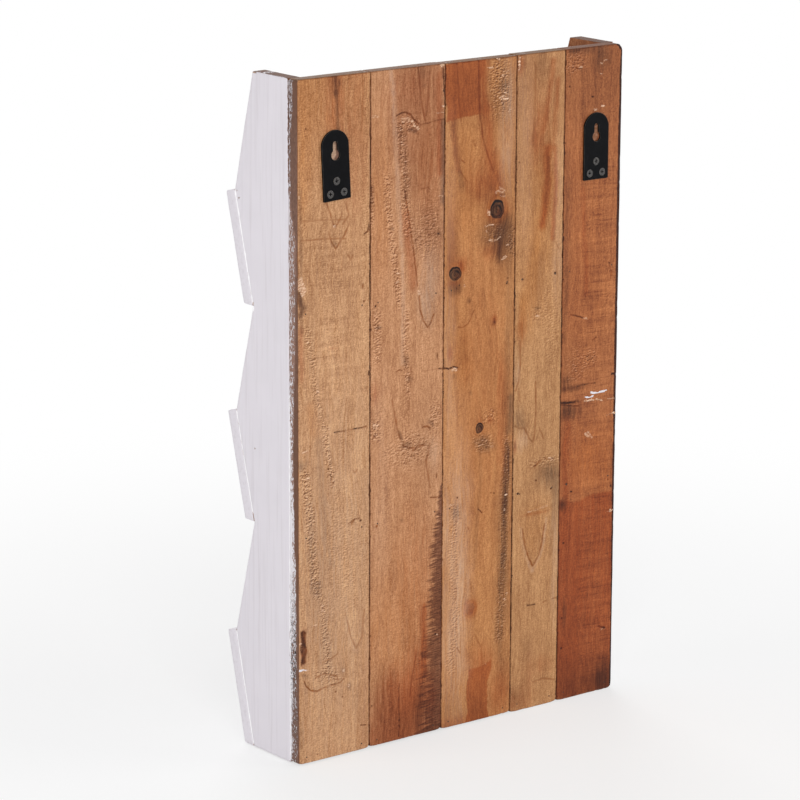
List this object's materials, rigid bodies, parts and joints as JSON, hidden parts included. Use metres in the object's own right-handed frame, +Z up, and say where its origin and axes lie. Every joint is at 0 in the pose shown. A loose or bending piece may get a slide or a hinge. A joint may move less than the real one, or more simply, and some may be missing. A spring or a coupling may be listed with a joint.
{
  "type": "wall newspaper rack",
  "caption": "Reclaimed-wood wall rack: stepped side boards, sloping front boards that form pockets for newspapers, an upright plank back and keyhole hanger plates.",
  "frame": {"origin": "on the ground, under the middle of the rack's overall box", "axes": "+Z up, -Y to the front where the pockets open, +Y to the wall, +X to the right of someone who faces the rack"},
  "size_m": [0.42, 0.1244, 0.7],
  "materials": {
    "plank_honey": "sawn reclaimed softwood, honey brown, unfinished",
    "plank_pink": "sawn reclaimed softwood, pinkish tan, unfinished",
    "plank_orange": "sawn reclaimed softwood with knots, orange tan, unfinished",
    "plank_tan": "sawn reclaimed softwood, light tan, unfinished",
    "plank_rust": "sawn reclaimed wood, rust brown, unfinished",
    "side_paint": "worn white paint on softwood",
    "board_paint": "worn white paint on softwood",
    "raw_wood": "unpainted softwood",
    "black_steel": "satin black coating",
    "zinc_steel": "zinc plated",
    "brad_wire": "dull wire"
  },
  "bodies": {
    "root": {"back_plank_1": "plank_honey", "back_plank_2": "plank_pink", "back_plank_3": "plank_orange", "back_plank_4": "plank_tan", "back_plank_5": "plank_rust", "side_board_right": "side_paint", "side_board_left": "side_paint", "front_board_bottom": "board_paint", "front_board_middle": "board_paint", "front_board_top": "board_paint", "pocket_floor_bottom": "raw_wood", "pocket_floor_middle": "raw_wood", "pocket_floor_top": "raw_wood", "hanger_plate_right": "black_steel", "hanger_plate_left": "black_steel", "hanger_screw_right_1": "zinc_steel", "hanger_screw_right_2": "zinc_steel", "hanger_screw_right_3": "zinc_steel", "hanger_screw_left_1": "zinc_steel", "hanger_screw_left_2": "zinc_steel", "hanger_screw_left_3": "zinc_steel", "plank_brad_bottom_1": "brad_wire", "plank_brad_bottom_2": "brad_wire", "plank_brad_bottom_3": "brad_wire", "plank_brad_bottom_4": "brad_wire", "plank_brad_bottom_5": "brad_wire", "plank_brad_bottom_6": "brad_wire", "plank_brad_bottom_7": "brad_wire", "plank_brad_bottom_8": "brad_wire", "plank_brad_bottom_9": "brad_wire", "plank_brad_bottom_10": "brad_wire", "plank_brad_middle_1": "brad_wire", "plank_brad_middle_2": "brad_wire", "plank_brad_middle_3": "brad_wire", "plank_brad_middle_4": "brad_wire", "plank_brad_middle_5": "brad_wire", "plank_brad_middle_6": "brad_wire", "plank_brad_middle_7": "brad_wire", "plank_brad_middle_8": "brad_wire", "plank_brad_middle_9": "brad_wire", "plank_brad_middle_10": "brad_wire", "plank_brad_top_1": "brad_wire", "plank_brad_top_2": "brad_wire", "plank_brad_top_3": "brad_wire", "plank_brad_top_4": "brad_wire", "plank_brad_top_5": "brad_wire", "plank_brad_top_6": "brad_wire", "plank_brad_top_7": "brad_wire", "plank_brad_top_8": "brad_wire", "plank_brad_top_9": "brad_wire", "plank_brad_top_10": "brad_wire", "front_brad_bottom_right": "brad_wire", "front_brad_bottom_left": "brad_wire", "front_brad_middle_right": "brad_wire", "front_brad_middle_left": "brad_wire", "front_brad_top_right": "brad_wire", "front_brad_top_left": "brad_wire"}
  },
  "joints": []
}
